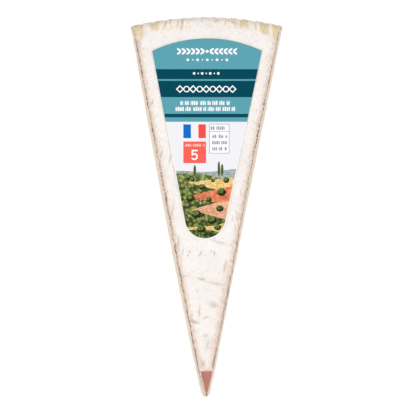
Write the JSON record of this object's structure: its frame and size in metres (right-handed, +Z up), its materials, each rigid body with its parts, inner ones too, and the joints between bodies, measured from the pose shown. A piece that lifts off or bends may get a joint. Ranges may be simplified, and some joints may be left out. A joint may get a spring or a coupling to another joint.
{
  "type": "film-wrapped wedge of brie",
  "caption": "Slim wedge of white-rinded soft cheese, shrink-wrapped in clear film, with a fan-shaped paper label on its upper rind and a coloured tab on its nose.",
  "frame": {"origin": "under the middle of the wedge, on the surface it lies on", "axes": "+Z up, +Y from the nose to the wheel's rim, +X to the right seen from above with the rim at the top"},
  "size_m": [0.072, 0.18, 0.0311],
  "materials": {
    "cheese": "white bloomy rind over soft ivory paste",
    "clear_film": "clear glossy shrink film",
    "label": "satin printed paper",
    "tab": "satin printed paper"
  },
  "bodies": {
    "root": {"wrapped_brie": "cheese", "label": "label", "nose_tab": "tab"}
  },
  "joints": []
}
